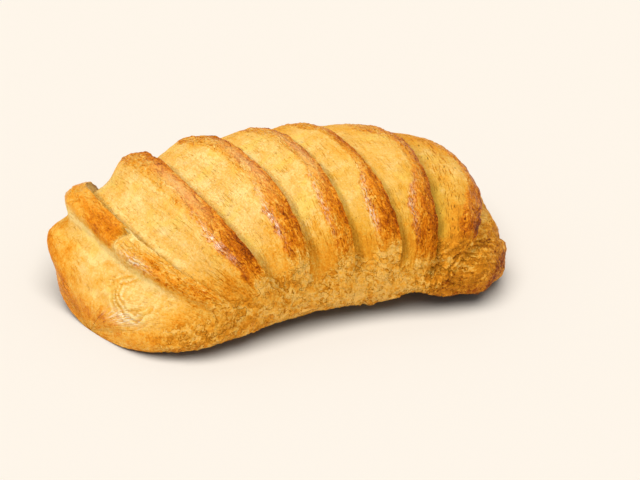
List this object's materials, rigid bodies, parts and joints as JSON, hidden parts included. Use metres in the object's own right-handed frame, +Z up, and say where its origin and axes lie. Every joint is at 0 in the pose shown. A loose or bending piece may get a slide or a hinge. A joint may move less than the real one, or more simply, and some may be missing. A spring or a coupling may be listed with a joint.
{
  "type": "cheese croissant",
  "caption": "Baked crescent-bent pastry roll with browned strips across the top between pale opened cuts, flaky sides and a flat underside.",
  "frame": {"origin": "middle of the box round the roll, on the floor that its flat underside rests on", "axes": "+X along the roll from the broad end to the narrow end, -Y towards the hollow side, +Z up"},
  "size_m": [0.1526, 0.0916, 0.0468],
  "materials": {
    "crust": "baked egg-washed crust, golden brown with pale yellow cuts, half matt"
  },
  "bodies": {
    "root": {"croissant": "crust"}
  },
  "joints": []
}
